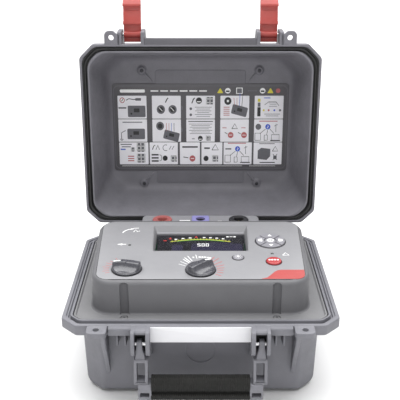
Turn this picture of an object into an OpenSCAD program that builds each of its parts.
// Hard-case high-voltage insulation resistance tester with its lid standing open.
// All sizes are in millimetres, +Z is up, and the front of the case faces -Y.
// The origin is on the standing plane under the middle of the base flange.

/* [Case] */
// Width of the closed case over its flanges
case_width = 315; // [280:1:350]
// Depth of the flanges from front to back, without handle and hinges
case_depth = 245.4; // [220:0.1:280]
// Height of the parting plane above the standing plane
rim_height = 108; // [90:1:130]
// Height of the lid above the parting plane
lid_height = 73; // [60:1:90]
// Cut taken off each corner of the flanges
corner_cut = 17.6; // [10:0.1:24]
// Wall thickness of the case mouldings
wall = 3.2; // [2.5:0.1:4.5]
// Height of the band around the top of the base
flange_height = 14; // [10:0.5:18]
// Distance that the flange stands out beyond the side walls of the base
flange_overhang = 19.5; // [14:0.5:24]

/* [Lid and hinge] */
// Angle between the closed lid and the lid as it stands open
lid_angle = 92.6; // [80:0.1:110]
// Distance of the hinge axis behind the flanges
hinge_back = 7.3; // [6:0.1:12]
// Height of the hinge axis above the parting plane
hinge_up = 10.5; // [8:0.1:14]
// Radius of the hinge pins
hinge_pin_radius = 2.5; // [2:0.1:3.5]

/* [Latches and handle] */
// Distance of each latch from the middle of the case
latch_x = 88.6; // [80:0.1:95]
// Width of a latch
latch_width = 22.4; // [18:0.1:26]
// Length of a latch from its pin to its tip
latch_length = 44.5; // [38:0.5:50]
// Distance of the padlock holes from the middle of the case
ear_x = 115.2; // [110:0.1:122]
// Radius of the padlock holes
ear_hole_radius = 3.6; // [2.5:0.1:4.5]
// Distance of the handle pins below the parting plane
handle_pin_down = 20; // [16:0.5:26]
// Drop of the hanging handle from its pins to the underside of the grip
handle_drop = 63; // [54:0.5:70]

/* [Instrument panel] */
// Height of the front edge of the instrument face above the parting plane
face_height = 39; // [32:0.5:44]
// Slope of the instrument face
face_tilt = 2.5; // [0:0.1:6]
// Radius of the two rotary knobs
knob_radius = 19; // [15:0.5:22]
// Turn of the left knob as it is set
left_knob_turn = 78; // [0:1:150]
// Turn of the centre knob as it is set
centre_knob_turn = -48; // [-150:1:0]
// Distance between the three terminals
terminal_pitch = 51; // [40:0.5:55]
// Bore of each terminal contact
contact_bore = 4.1; // [4:0.05:4.5]

/* [Hidden] */
$fn = 64;
half_w = case_width / 2;
half_d = case_depth / 2;
body_half_w = half_w - flange_overhang;
body_half_d = 101;
foot = 3;
hinge_y = half_d + hinge_back;
hinge_z = rim_height + hinge_up;
latch_pin_y = -half_d - 10.3;
latch_pin_z = rim_height + 20;
ear_y = -half_d - 8.1;
handle_y = -half_d - 6.3;
handle_z = rim_height - handle_pin_down;
grip_half = 55.5;
arm_x = 66.7;
face_y = -94;
face_z = rim_height + face_height;
panel_half_w = half_w - 15.6;
panel_half_d = half_d - 15.8;
deck_y = 84;
deck_z = rim_height + 38.5;
knob_left = [-85.5, -65.5];
knob_centre = [0, -67.5];
test_at = [86.2, -48];
light_at = [44.6, -38];
pad_at = [86.3, 4];
lamp_left = [-87, -5.7];
lamp_right = [86, -27.8];
screw_x = 86.5;
lid_gap = 0.4;
lid_floor_z = rim_height + lid_height - wall;
lid_boss = [[-81.5, -77.7], [81.5, -77.7], [-81.5, 86.5], [81.5, 86.5]];

// Rectangle with its four corners cut off.
module cut_corners(w, d, c) {
  polygon([
    [-w + c, -d], [w - c, -d], [w, -d + c], [w, d - c],
    [w - c, d], [-w + c, d], [-w, d - c], [-w, -d + c]
  ]);
}

// Rectangle with round corners, between two opposite points.
module round_box(x0, y0, x1, y1, r) {
  translate([x0 + r, y0])
    square([x1 - x0 - 2 * r, y1 - y0]);
  translate([x0, y0 + r])
    square([x1 - x0, y1 - y0 - 2 * r]);
  for (x = [x0 + r, x1 - r], y = [y0 + r, y1 - r])
    translate([x, y])
      circle(r);
}

// Outline with straight, slightly spreading sides and round corners.
module panel_outline(front, rear, y0, y1, r) {
  polygon([
    [-front + r, y0], [front - r, y0], [front, y0 + r], [rear, y1 - r],
    [rear - r, y1], [-rear + r, y1], [-rear, y1 - r], [-front, y0 + r]
  ]);
  for (s = [-1, 1]) {
    translate([s * (front - r), y0 + r])
      circle(r);
    translate([s * (rear - r), y1 - r])
      circle(r);
  }
}

// Side profile, drawn as depth and height, given a width along X.
module across(x0, x1) {
  translate([x0, 0, 0])
    rotate([90, 0, 90])
      linear_extrude(height = x1 - x0)
        children();
}

// Front profile, drawn as width and height, given a depth along Y.
module along(y0, y1) {
  translate([0, y1, 0])
    rotate([90, 0, 0])
      linear_extrude(height = y1 - y0)
        children();
}

// Round bar along X.
module bar(x0, x1, y, z, r) {
  translate([x0, y, z])
    rotate([0, 90, 0])
      cylinder(h = x1 - x0, r = r);
}

// Puts children on the sloping instrument face.
module on_face(p, up = 0) {
  translate([0, face_y, face_z])
    rotate([face_tilt, 0, 0])
      translate([p[0], p[1] - face_y, up])
        children();
}

// Takes parts drawn for the closed lid to where they are on the open lid.
module lid_open() {
  translate([0, hinge_y, hinge_z])
    rotate([-lid_angle, 0, 0])
      translate([0, -hinge_y, -hinge_z])
        children();
}

// Outer form of the base below its flange, drawn in on every side by a margin.
module base_body(m, z0, z1) {
  intersection() {
    translate([0, 0, z0])
      linear_extrude(height = z1 - z0)
        cut_corners(body_half_w - m, body_half_d - m, 27 - 0.6 * m);
    along(-body_half_d, body_half_d)
      polygon([
        [-body_half_w + m + 5.2, z0], [body_half_w - m - 5.2, z0], [body_half_w - m - 1.2, z0 + 4],
        [body_half_w - m, z1], [-body_half_w + m, z1], [-body_half_w + m + 1.2, z0 + 4]
      ]);
    across(-body_half_w, body_half_w)
      polygon([
        [-body_half_d + m + 7.5, z0], [body_half_d - m - 7.5, z0], [body_half_d - m - 3.5, z0 + 4],
        [body_half_d - m, z1], [-body_half_d + m, z1], [-body_half_d + m + 3.5, z0 + 4]
      ]);
  }
}

// One side's front fittings of the base: padlock ear, latch keeper, guard rib and handle bracket.
module base_front_fittings() {
  difference() {
    translate([0, 0, rim_height - 7])
      linear_extrude(height = 7)
        round_box(ear_x - 11.5, ear_y - 8.3, ear_x + 11, -half_d + 12, 4);
    translate([ear_x, ear_y, rim_height - 8])
      cylinder(h = 9, r = ear_hole_radius);
  }
  translate([latch_x - 11.9, -half_d - 7.3, rim_height - 11])
    cube([25.5, 10, 11]);
  across(latch_x + 12.4, latch_x + 16.4)
    polygon([
      [-half_d - 11, rim_height], [-body_half_d + 8, rim_height], [-body_half_d + 8, rim_height - 80],
      [-body_half_d + 2, rim_height - 80], [-half_d - 2, rim_height - 44], [-half_d - 11, rim_height - 24]
    ]);
  for (x = [latch_x - 5, latch_x + 4])
    across(x, x + 1.8)
      polygon([
        [-half_d + 2, rim_height - 5], [-body_half_d + 6, rim_height - 5],
        [-body_half_d + 6, rim_height - 30], [-half_d + 2, rim_height - 26]
      ]);
  for (x = [[56, 60.4], [73.1, 76.9]])
    difference() {
      across(x[0], x[1]) {
        translate([handle_y, handle_z])
          circle(12.5);
        polygon([
          [handle_y - 12.5, handle_z], [handle_y - 12.5, rim_height - 6], [handle_y - 8, rim_height],
          [-body_half_d + 8, rim_height], [-body_half_d + 8, rim_height - 52],
          [-body_half_d, rim_height - 52], [handle_y + 6, handle_z - 10.9]
        ]);
      }
      bar(x[0] - 1, x[1] + 1, handle_y, handle_z, 2.5);
    }
}

// One side's hinge knuckles on the back of the base, either side of the lid's own.
module base_hinge() {
  for (x = [[62, 72], [92, 102]])
    difference() {
      across(x[0], x[1]) {
        translate([hinge_y, hinge_z])
          circle(6.3);
        polygon([
          [hinge_y + 6.3, hinge_z], [hinge_y - 3.6, hinge_z + 5], [hinge_y - 6.6, rim_height],
          [half_d - 6, rim_height - 2], [half_d - 6, rim_height - 14], [half_d + 4, rim_height - 14],
          [hinge_y + 6.3, rim_height - 4]
        ]);
      }
      bar(x[0] - 1, x[1] + 1, hinge_y, hinge_z, hinge_pin_radius);
    }
}

module case_base() {
  color("slategray")
    difference() {
      union() {
        translate([0, 0, rim_height - flange_height])
          linear_extrude(height = flange_height)
            cut_corners(half_w, half_d, corner_cut);
        base_body(0, foot, rim_height - flange_height);
        along(-half_d - 2, -body_half_d + 8)
          translate([-58, rim_height - 21])
            square([116, 19.5]);
        base_front_fittings();
        mirror([1, 0, 0])
          base_front_fittings();
        base_hinge();
        mirror([1, 0, 0])
          base_hinge();
      }
      base_body(wall, foot + wall, rim_height - flange_height + 3);
      translate([0, 0, rim_height - flange_height + 2])
        linear_extrude(height = flange_height)
          cut_corners(body_half_w - wall, body_half_d - wall, 25);
      translate([0, 0, rim_height - 5])
        linear_extrude(height = 6)
          cut_corners(panel_half_w, panel_half_d, corner_cut - 2);
      translate([0, 0, rim_height - 3])
        linear_extrude(height = 4)
          difference() {
            cut_corners(half_w - 3.8, half_d - 3.8, corner_cut - 1);
            cut_corners(half_w - 8.4, half_d - 8.4, corner_cut - 1.6);
          }
      along(-body_half_d - 1, -body_half_d + 1.2)
        difference() {
          translate([-55, rim_height - 84])
            square([110, 60]);
          translate([0, rim_height - 45])
            circle(17.5);
        }
      for (x = [-105, 105], y = [-80, 80])
        translate([x, y, foot - 1])
          cylinder(h = 3, r = 8.1);
      for (x = [-screw_x, screw_x], y = [-102, 102])
        translate([x, y, rim_height - 13.4])
          cylinder(h = 10, r = 1.6);
    }
}

module rubber_feet() {
  color("black")
    for (x = [-105, 105], y = [-80, 80])
      translate([x, y, 0])
        cylinder(h = foot + 1.9, r = 8);
}

// Steel pins that the handle swings on.
module handle_pins() {
  color("silver") {
    bar(56.2, 76.7, handle_y, handle_z, 2.5);
    bar(-76.7, -56.2, handle_y, handle_z, 2.5);
  }
}

// Steel pins that the lid swings on.
module hinge_pins() {
  color("silver") {
    bar(62.2, 101.8, hinge_y, hinge_z, hinge_pin_radius);
    bar(-101.8, -62.2, hinge_y, hinge_z, hinge_pin_radius);
  }
}

module name_label() {
  color("white")
    along(-half_d - 2.8, -half_d - 2)
      round_box(-55.8, rim_height - 20.5, 55.8, rim_height - 2.2, 1);
}

// Thin seal in the slot between the case rim and the panel moulding.
module panel_seal() {
  color("black")
    translate([0, 0, rim_height - 4.9])
      linear_extrude(height = 4.4)
        difference() {
          cut_corners(panel_half_w - 0.05, panel_half_d - 0.05, corner_cut - 2);
          cut_corners(panel_half_w - 1.1, panel_half_d - 1.1, corner_cut - 2.4);
        }
}

// Main block of the panel moulding, drawn in on every side by a margin.
module face_block(m) {
  difference() {
    translate([0, 0, rim_height - 4.9])
      linear_extrude(height = 63)
        panel_outline(125 - m, 130.5 - m, -95.5 + m, 66 - m, 26 - m);
    on_face([0, 0], -m)
      translate([-160, -134, 0])
        cube([320, 290, 60]);
  }
}

// Lower block behind the face that holds the terminals, drawn in by a margin.
module deck_block(m) {
  translate([0, 0, rim_height - 4.9])
    linear_extrude(height = deck_z - rim_height + 4.9 - m)
      round_box(-78 + m, 40, 78 - m, 99.5 - m, 7 - m);
}

// Openings through the instrument face.
module face_openings() {
  on_face([0, 0], -9.2)
    linear_extrude(height = 20)
      round_box(-56, -19, 56, 42, 2);
  on_face([0, 0], -4)
    linear_extrude(height = 20)
      round_box(-59.5, -21, 59.5, 46, 3);
  on_face(knob_left, -9)
    cylinder(h = 20, r = 3.6);
  on_face(knob_centre, -9)
    cylinder(h = 20, r = 3.6);
  on_face(test_at, -9)
    cylinder(h = 20, r = 10);
  on_face(light_at, -9)
    cylinder(h = 20, r = 7.8);
  on_face(pad_at, -9)
    cylinder(h = 20, r = 20);
  on_face(lamp_left, -9)
    cylinder(h = 20, r = 2);
  on_face(lamp_right, -9)
    cylinder(h = 20, r = 2);
}

module panel_moulding() {
  color("dimgray")
    difference() {
      union() {
        translate([0, 0, rim_height - 4.9])
          linear_extrude(height = 4.4)
            cut_corners(panel_half_w - 1.2, panel_half_d - 1.2, corner_cut - 2.5);
        face_block(0);
        deck_block(0);
      }
      face_block(3);
      deck_block(3);
      face_openings();
      on_face([0, 0], -0.4)
        linear_extrude(height = 3)
          panel_outline(119.2, 125.6, -89, 60, 14);
      for (x = [-screw_x, screw_x]) {
        translate([x, -97.5, rim_height - 0.5])
          cylinder(h = 60, r = 5.1);
        for (y = [-102, 102])
          translate([x, y, rim_height - 6])
            cylinder(h = 8, r = 2.1);
      }
      for (x = [-terminal_pitch, 0, terminal_pitch])
        translate([x, deck_y, deck_z - 20])
          cylinder(h = 22, r = 9);
      for (x = [-terminal_pitch, terminal_pitch])
        translate([x, deck_y, deck_z - 1.6])
          cylinder(h = 3, r = 13.2);
      translate([-11.7, deck_y - 11.7, deck_z - 1.6])
        cube([23.4, 23.4, 3]);
    }
  color("dimgray")
    for (x = [-screw_x, screw_x])
      difference() {
        translate([x, -97.5, rim_height - 0.5])
          cylinder(h = 38, r = 7.4);
        translate([x, -97.5, rim_height - 1])
          cylinder(h = 60, r = 5.1);
        translate([x - 20, -135, rim_height - 1])
          cube([40, 39.5, 60]);
        on_face([0, 0], -4)
          translate([-160, -134, 0])
            cube([320, 290, 60]);
      }
}

module face_overlay() {
  color("gray")
    difference() {
      on_face([0, 0], -0.4)
        linear_extrude(height = 0.6)
          panel_outline(119, 125.4, -88.8, 59.8, 13.8);
      face_openings();
      on_face([0, 0], -1)
        linear_extrude(height = 3)
          flash_outline(0.05);
    }
}

// Coloured patch in the front right corner of the face.
module flash_outline(m) {
  difference() {
    panel_outline(119 + 3 * m, 125.4 + 3 * m, -88.8 - 3 * m, 59.8, 13.8);
    translate([-200, -67.5 + m])
      square([400, 200]);
    translate([-200, -200])
      square([264 - m, 400]);
    polygon([[60, -90], [66 - m, -87], [88 - m, -68.2 + m], [88, -60], [40, -60], [40, -90]]);
  }
}

module corner_flash() {
  color("crimson")
    on_face([0, 0], -0.4)
      linear_extrude(height = 0.6)
        flash_outline(0);
}

// Screws that hold the panel down into the bosses of the base.
module panel_screws() {
  color("silver")
    for (x = [-screw_x, screw_x], y = [-102, 102])
      difference() {
        union() {
          translate([x, y, rim_height - 0.4])
            cylinder(h = 2.4, r = 3.8);
          translate([x, y, rim_height - 13])
            cylinder(h = 13, r = 1.55);
        }
        translate([x, y, rim_height + 0.8])
          cylinder(h = 3, r = 1.8, $fn = 6);
      }
}

module display_window() {
  color("lightblue", 0.5)
    on_face([0, 0], -9.1)
      linear_extrude(height = 1.6)
        round_box(-55.9, -18.9, 55.9, 41.9, 1.9);
}

module display_module() {
  color("darkslategray")
    on_face([0, 0], -14.6)
      linear_extrude(height = 5.4)
        round_box(-54, -17.5, 54, 40.5, 1);
}

module status_lamps() {
  color("lightgreen")
    for (p = [lamp_left, lamp_right])
      on_face(p, -6) {
        cylinder(h = 5.8, r = 1.9);
        translate([0, 0, -2])
          cylinder(h = 2.2, r = 2.6);
      }
}

// Terminal insert: a round body down through the deck under a flange, with a lead guide bore.
module terminal_body() {
  difference() {
    union() {
      translate([0, deck_y, deck_z - 20])
        cylinder(h = 19, r = 8.9);
      children();
    }
    translate([0, deck_y, deck_z - 18])
      cylinder(h = 22, r = 6.2);
    translate([0, deck_y, deck_z - 21])
      cylinder(h = 22, r = 3.45);
  }
}

module terminal_red() {
  color("firebrick")
    translate([-terminal_pitch, 0, 0])
      terminal_body()
        translate([0, deck_y, deck_z - 1.5])
          cylinder(h = 2.7, r = 13);
}

module terminal_blue() {
  color("royalblue")
    terminal_body()
      translate([0, 0, deck_z - 1.5])
        linear_extrude(height = 2.7)
          round_box(-11.5, deck_y - 11.5, 11.5, deck_y + 11.5, 2);
}

module terminal_black() {
  color("black")
    translate([terminal_pitch, 0, 0])
      terminal_body()
        translate([0, deck_y, deck_z - 1.5])
          cylinder(h = 2.7, r = 13);
}

// Spring-sided metal contacts that take a 4 mm plug.
module terminal_contacts() {
  color("gold")
    for (x = [-terminal_pitch, 0, terminal_pitch])
      difference() {
        translate([x, deck_y, deck_z - 24])
          cylinder(h = 21, r = 3.4);
        translate([x, deck_y, deck_z - 21])
          cylinder(h = 20, r = contact_bore / 2);
        translate([x - 6, deck_y - 0.4, deck_z - 14])
          cube([12, 0.8, 12]);
      }
}

// Solid busbars from the contacts down to the high-voltage module.
module contact_leads() {
  color("orange")
    for (x = [-terminal_pitch, 0, terminal_pitch])
      translate([x - 2, deck_y - 1, rim_height - 44.8])
        cube([4, 2, deck_z - 24.1 - rim_height + 44.8]);
}

module main_board() {
  color("darkgreen")
    difference() {
      on_face([0, 0], -22.6)
        linear_extrude(height = 1.6)
          round_box(-112, -86, 112, 54, 3);
      for (p = [knob_left, knob_centre])
        on_face(p, -24)
          cylinder(h = 5, r = 3.6);
    }
}

// Spacers between the board and the underside of the face.
module board_spacers() {
  color("goldenrod")
    for (x = [-106, 106], y = [-78, 46])
      on_face([x, y], -20.9)
        difference() {
          cylinder(h = 17.8, r = 3);
          translate([0, 0, -1])
            cylinder(h = 20, r = 1.3);
        }
}

module rotary_switches() {
  color("darkslateblue")
    for (p = [knob_left, knob_centre])
      on_face(p, -20.9)
        difference() {
          union() {
            translate([-13, -13, 0])
              cube([26, 26, 9]);
            cylinder(h = 14, r = 4.8);
          }
          translate([0, 0, -1])
            cylinder(h = 20, r = 3.06);
        }
}

// Push switches under the buttons.
module key_switches() {
  color("dimgray")
    for (p = [test_at, light_at, pad_at])
      on_face(p, -20.9)
        translate([-3, -3, 0])
          cube([6, 6, 7]);
  color("dimgray")
    for (a = [0, 90, 180, 270])
      on_face(pad_at, -20.9)
        rotate([0, 0, a])
          translate([10.5, -3, 0])
            cube([6, 6, 7]);
}

// Rubber mat with a dome under each button.
module key_mat() {
  color("lightgray")
    difference() {
      on_face([0, 0], -13.5)
        linear_extrude(height = 1.4)
          round_box(30, -64, 110, 26, 4);
      on_face([0, 0], -20)
        linear_extrude(height = 12)
          round_box(20, -20, 58, 32, 2);
    }
}

module sounder() {
  color("black")
    on_face([-65, -26], -20.9)
      difference() {
        cylinder(h = 9, r = 7);
        translate([0, 0, 5])
          cylinder(h = 5, r = 1.2);
      }
}

// Folded plastic tray that carries the power electronics above the battery.
module inner_tray() {
  color("gray")
    difference() {
      union() {
        translate([0, 0, rim_height - 52])
          linear_extrude(height = 2.4)
            cut_corners(128, 90, 22);
        for (x = [-118, 118], y = [-60, 60])
          translate([x, y, foot + wall])
            cylinder(h = rim_height - 52 - foot - wall + 1, r = 5);
      }
      for (x = [-118, 118], y = [-60, 60])
        translate([x, y, rim_height - 72])
          cylinder(h = 30, r = 1.6);
      translate([-20, 40, rim_height - 54])
        cube([40, 14, 6]);
    }
}

module tray_screws() {
  color("silver")
    for (x = [-118, 118], y = [-60, 60])
      translate([x, y, 0]) {
        translate([0, 0, rim_height - 49.6])
          cylinder(h = 2.2, r = 3.2);
        translate([0, 0, rim_height - 62])
          cylinder(h = 13, r = 1.5);
      }
}

module power_board() {
  color("darkgreen")
    translate([-105, -78, rim_height - 45])
      cube([112, 118, 1.6]);
  color("darkgreen")
    for (x = [-100, 1], y = [-73, 34])
      translate([x, y, rim_height - 49.5])
        cylinder(h = 4.5, r = 2.6);
}

module transformer() {
  color("peru") {
    translate([-92, -66, rim_height - 43.3])
      cube([46, 38, 26]);
    translate([-86, -70, rim_height - 38])
      cube([34, 46, 16]);
  }
}

module capacitors() {
  color("navy")
    for (x = [-34, -14], y = [-62, -40, -18])
      translate([x, y, rim_height - 43.3])
        cylinder(h = 30, r = 8);
}

module high_voltage_module() {
  color("black")
    translate([-70, 58, rim_height - 49.5])
      cube([140, 28, 4.6]);
  color("black")
    translate([22, -76, rim_height - 49.5])
      cube([88, 124, 40]);
}

module battery_pack() {
  color("dodgerblue")
    difference() {
      translate([-100, -70, foot + wall + 0.1])
        cube([200, 92, 46]);
      for (x = [-60, 54])
        translate([x, -72, foot + wall + 44.6])
          cube([6, 96, 3]);
    }
}

module battery_strap() {
  color("silver")
    for (x = [-59.8, 54.2])
      translate([x, -69.8, foot + wall + 44.7])
        cube([5.6, 91.6, 1.3]);
}

// Outer form of the lid above its flange.
module lid_outside() {
  intersection() {
    translate([0, 0, rim_height + 8])
      linear_extrude(height = lid_height - 8)
        cut_corners(half_w - 11, half_d - 5, 24);
    along(-half_d, half_d)
      polygon([
        [-half_w + 11, rim_height + 8], [half_w - 11, rim_height + 8],
        [half_w - 22, rim_height + lid_height - 8], [half_w - 27, rim_height + lid_height],
        [-half_w + 27, rim_height + lid_height], [-half_w + 22, rim_height + lid_height - 8]
      ]);
    across(-half_w, half_w)
      polygon([
        [-half_d + 5, rim_height + 8], [half_d - 5, rim_height + 8],
        [half_d - 20, rim_height + lid_height - 8], [half_d - 26, rim_height + lid_height],
        [-half_d + 26, rim_height + lid_height], [-half_d + 20, rim_height + lid_height - 8]
      ]);
  }
}

// Hollow of the lid.
module lid_inside() {
  intersection() {
    translate([0, 0, rim_height - 1])
      linear_extrude(height = lid_height - wall + 1)
        cut_corners(half_w - 16.2, half_d - 14.3, 19);
    along(-half_d, half_d)
      polygon([
        [-half_w + 16, rim_height - 1], [half_w - 16, rim_height - 1],
        [half_w - 27.5, lid_floor_z - 8], [half_w - 31.5, lid_floor_z],
        [-half_w + 31.5, lid_floor_z], [-half_w + 27.5, lid_floor_z - 8]
      ]);
    across(-half_w, half_w)
      polygon([
        [-half_d + 14.1, rim_height - 1], [half_d - 14.1, rim_height - 1],
        [half_d - 25, lid_floor_z - 8], [half_d - 30.2, lid_floor_z],
        [-half_d + 30.2, lid_floor_z], [-half_d + 25, lid_floor_z - 8]
      ]);
  }
}

// One side's front fittings of the lid: padlock ear and the two latch lugs.
module lid_front_fittings() {
  difference() {
    union() {
      translate([ear_x, ear_y, rim_height + lid_gap])
        cylinder(h = 6.6, r = 8.6);
      translate([ear_x - 11, ear_y, rim_height + lid_gap])
        cube([19.6, 20, 6.6]);
    }
    translate([ear_x, ear_y, rim_height - 1])
      cylinder(h = 9, r = ear_hole_radius);
  }
  for (x = [[latch_x - 16, latch_x - 11.6], [latch_x + 11.6, latch_x + 16]])
    difference() {
      across(x[0], x[1])
        polygon([
          [-half_d - 20, rim_height + 9], [-half_d - 16, rim_height + lid_gap],
          [-half_d + 6, rim_height + lid_gap], [-half_d + 22, rim_height + 48],
          [-half_d + 2, rim_height + 48], [-half_d - 20, rim_height + 32]
        ]);
      bar(x[0] - 1, x[1] + 1, latch_pin_y, latch_pin_z, 1.8);
    }
}

// One side's hinge knuckle on the back of the lid.
module lid_hinge() {
  difference() {
    across(72.5, 91.5) {
      translate([hinge_y, hinge_z])
        circle(6.3);
      polygon([
        [hinge_y - 1, hinge_z - 6], [half_d - 8, rim_height + 2], [half_d - 12, rim_height + 26],
        [hinge_y - 1, hinge_z + 6.1]
      ]);
    }
    bar(72, 92, hinge_y, hinge_z, hinge_pin_radius + 0.05);
  }
}

module lid_shell() {
  color("slategray")
    lid_open()
      difference() {
        union() {
          translate([0, 0, rim_height + lid_gap])
            linear_extrude(height = 11.6)
              cut_corners(half_w, half_d, corner_cut);
          lid_outside();
          along(-half_d - 7.3, -half_d + 8)
            polygon([
              [-72.6, rim_height + lid_gap], [72.6, rim_height + lid_gap],
              [72.6, rim_height + 12], [-72.6, rim_height + 12]
            ]);
          lid_front_fittings();
          mirror([1, 0, 0])
            lid_front_fittings();
          lid_hinge();
          mirror([1, 0, 0])
            lid_hinge();
        }
        lid_inside();
        translate([0, 0, rim_height])
          linear_extrude(height = 5)
            difference() {
              cut_corners(half_w - 3.2, half_d - 3.2, corner_cut - 1);
              cut_corners(half_w - 12, half_d - 10.4, corner_cut - 2);
            }
        bar(61, 72.2, hinge_y, hinge_z, 7);
        bar(91.8, 103, hinge_y, hinge_z, 7);
        bar(-72.2, -61, hinge_y, hinge_z, 7);
        bar(-103, -91.8, hinge_y, hinge_z, 7);
      }
  color("slategray")
    lid_open()
      for (p = lid_boss)
        translate([p[0], p[1], lid_floor_z - 4])
          difference() {
            cylinder(h = 4.2, r = 4.6);
            translate([0, 0, -1])
              cylinder(h = 5, r = 1.3);
          }
}

module lid_seal() {
  color("black")
    lid_open()
      translate([0, 0, rim_height + 0.6])
        linear_extrude(height = 4.3)
          difference() {
            cut_corners(half_w - 3.3, half_d - 3.3, corner_cut - 1);
            cut_corners(half_w - 11.9, half_d - 10.3, corner_cut - 2);
          }
}

module lid_label_plate() {
  color("dimgray")
    lid_open()
      translate([0, 0, lid_floor_z - 1.1])
        linear_extrude(height = 1)
          round_box(-124, -58, 124, 66.5, 6);
}

// Plain white picture cards printed on raised pads: two rows of five and one row of six.
module lid_label_cards() {
  color("white")
    lid_open()
      translate([0, 0, lid_floor_z - 1.5])
        linear_extrude(height = 0.4) {
          for (k = [0:4], y = [-41, -9])
            translate([k * 47.6 - 116.6, y])
              square([41.2, 29.6]);
          for (x = [[-115.2, -75], [-72.2, -32.6], [-30.4, -1.6], [0.6, 29], [32, 72.6], [75.2, 115.6]])
            translate([x[0], 23])
              square([x[1] - x[0], 31]);
        }
}

module lid_screws() {
  color("dimgray")
    lid_open()
      for (p = lid_boss)
        translate([p[0], p[1], 0]) {
          translate([0, 0, lid_floor_z - 5.3])
            cylinder(h = 1.3, r = 2.6);
          translate([0, 0, lid_floor_z - 4.1])
            cylinder(h = 3.6, r = 1.25);
        }
}

// Pins that the latches turn on.
module latch_pins() {
  color("silver")
    lid_open() {
      bar(latch_x - 15.8, latch_x + 15.8, latch_pin_y, latch_pin_z, 1.8);
      bar(-latch_x - 15.8, -latch_x + 15.8, latch_pin_y, latch_pin_z, 1.8);
    }
}

// One latch, standing straight out from the lid, with the hook near its tip.
module latch(x) {
  w = latch_width / 2;
  lid_open()
    difference() {
      union() {
        bar(x - w, x + w, latch_pin_y, latch_pin_z, 4.6);
        across(x - w, x + w)
          polygon([
            [latch_pin_y - 1.1, latch_pin_z - 1], [latch_pin_y - 13, latch_pin_z - 1.2],
            [latch_pin_y - 15, latch_pin_z - 2.4], [latch_pin_y - 24, latch_pin_z - 2.4],
            [latch_pin_y - 26, latch_pin_z - 1.3], [latch_pin_y - 32.2, latch_pin_z - 1.3],
            [latch_pin_y - 32.2, latch_pin_z - 6], [latch_pin_y - 34.5, latch_pin_z - 6],
            [latch_pin_y - 38, latch_pin_z - 1.6], [latch_pin_y - latch_length, latch_pin_z - 1.8],
            [latch_pin_y - latch_length, latch_pin_z + 2], [latch_pin_y - latch_length + 4, latch_pin_z + 5],
            [latch_pin_y - 0.4, latch_pin_z + 4.5]
          ]);
      }
      bar(x - w - 1, x + w + 1, latch_pin_y, latch_pin_z, 1.85);
    }
}

module latch_left() {
  color("firebrick")
    latch(-latch_x);
}

module latch_right() {
  color("firebrick")
    latch(latch_x);
}

// One arm of the handle: a tongue on the pin, a wide frame and a foot beside the grip.
module handle_arm() {
  difference() {
    union() {
      across(61, 72.5) {
        translate([handle_y, handle_z])
          circle(7.6);
        translate([handle_y - 6, handle_z - 20])
          square([11, 20]);
      }
      across(58.6, 74.4)
        polygon([
          [handle_y - 8, handle_z - 16.5], [handle_y + 5, handle_z - 16.5],
          [handle_y + 1, handle_z - 46], [handle_y - 15, handle_z - 46]
        ]);
      across(56, 67.6)
        polygon([
          [handle_y + 1, handle_z - 45], [handle_y - 2, handle_z - handle_drop],
          [handle_y - 17, handle_z - handle_drop], [handle_y - 19, handle_z - 56],
          [handle_y - 14.6, handle_z - 45]
        ]);
    }
    bar(60, 74, handle_y, handle_z, 2.55);
    translate([62, handle_y - 30, handle_z - 42])
      cube([9, 25, 22]);
    translate([58.4, handle_y - 30, handle_z - 59.5])
      cube([7, 20, 8]);
  }
}

module handle_frame() {
  color("slategray") {
    handle_arm();
    mirror([1, 0, 0])
      handle_arm();
    translate([-57, handle_y - 14, handle_z - 58])
      cube([114, 9, 15]);
  }
}

// Soft grip over the bar of the handle.
module handle_grip() {
  color("black")
    difference() {
      across(-grip_half, grip_half) {
        round_box(handle_y - 17, handle_z - 52, handle_y, handle_z - 36.5, 5);
        round_box(handle_y - 20, handle_z - handle_drop, handle_y - 1, handle_z - 47, 4);
      }
      translate([-57, handle_y - 14.1, handle_z - 58.1])
        cube([114, 9.2, 15.2]);
      translate([-57, handle_y - 30, handle_z - 55.5])
        cube([114, 14, 3.6]);
    }
}

// Rotary knob with a raised grip across it, set to an angle.
module knob(p, turn) {
  on_face(p, 0.7)
    rotate([0, 0, turn])
      difference() {
        union() {
          cylinder(h = 2.4, r = knob_radius);
          cylinder(h = 8, r = knob_radius - 1.6);
          intersection() {
            cylinder(h = 13.6, r = knob_radius - 1);
            translate([-4.6, -knob_radius, 0])
              cube([9.2, 2 * knob_radius, 13.6]);
          }
        }
        translate([0, 0, -1])
          cylinder(h = 9.4, r = 3.1);
        translate([-1.3, 5.5, 12.9])
          cube([2.6, 20, 2]);
      }
}

module knob_pointer(p, turn) {
  on_face(p, 0.7)
    rotate([0, 0, turn])
      translate([-1.2, 5.7, 13])
        cube([2.4, 11.2, 0.8]);
}

module knob_shaft(p) {
  on_face(p, -20.4)
    cylinder(h = 28.8, r = 3);
}

module knob_left_body() {
  color("darkslategray")
    knob(knob_left, left_knob_turn);
}

module knob_left_pointer() {
  color("white")
    knob_pointer(knob_left, left_knob_turn);
}

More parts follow.
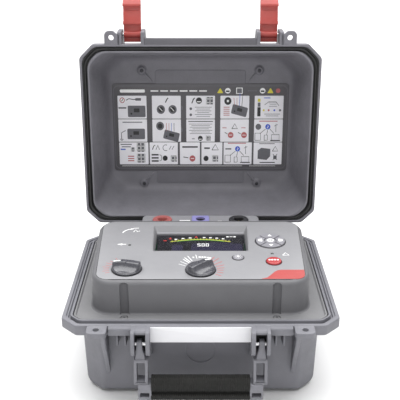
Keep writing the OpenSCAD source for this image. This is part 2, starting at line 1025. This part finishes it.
module knob_left_shaft() {
  color("silver")
    knob_shaft(knob_left);
}

module knob_centre_body() {
  color("darkslategray")
    knob(knob_centre, centre_knob_turn);
}

module knob_centre_pointer() {
  color("white")
    knob_pointer(knob_centre, centre_knob_turn);
}

module knob_centre_shaft() {
  color("silver")
    knob_shaft(knob_centre);
}

// Round button with a collar under the face that keeps it in.
module round_button(p, r, up) {
  on_face(p, -10.8)
    cylinder(h = 10.8 + up, r = r);
  on_face(p, -5)
    cylinder(h = 1.6, r = r + 1.6);
}

module test_button() {
  color("red")
    round_button(test_at, 9.5, 2.8);
}

module light_button() {
  color("lightgray")
    round_button(light_at, 7.3, 2);
}

// One of the four curved keys around the middle key.
module curved_key(turn) {
  on_face(pad_at, -10.8)
    rotate([0, 0, turn])
      linear_extrude(height = 12.8)
        intersection() {
          difference() {
            circle(19.4);
            circle(8.2);
          }
          polygon([[0, 0.8], [30, 30.8], [-30, 30.8]]);
        }
}

module key_up() {
  color("gainsboro")
    curved_key(0);
}

module key_down() {
  color("gainsboro")
    curved_key(180);
}

module key_left() {
  color("gainsboro")
    curved_key(90);
}

module key_right() {
  color("gainsboro")
    curved_key(-90);
}

module key_ok() {
  color("gainsboro")
    on_face(pad_at, -10.8)
      cylinder(h = 12.8, r = 7.4);
}

case_base();
rubber_feet();
handle_pins();
hinge_pins();
name_label();
panel_seal();
panel_moulding();
face_overlay();
corner_flash();
panel_screws();
display_window();
display_module();
status_lamps();
terminal_red();
terminal_blue();
terminal_black();
terminal_contacts();
contact_leads();
main_board();
board_spacers();
rotary_switches();
key_switches();
key_mat();
sounder();
inner_tray();
tray_screws();
power_board();
transformer();
capacitors();
high_voltage_module();
battery_pack();
battery_strap();
lid_shell();
lid_seal();
lid_label_plate();
lid_label_cards();
lid_screws();
latch_pins();
latch_left();
latch_right();
handle_frame();
handle_grip();
knob_left_body();
knob_left_pointer();
knob_left_shaft();
knob_centre_body();
knob_centre_pointer();
knob_centre_shaft();
test_button();
light_button();
key_up();
key_down();
key_left();
key_right();
key_ok();
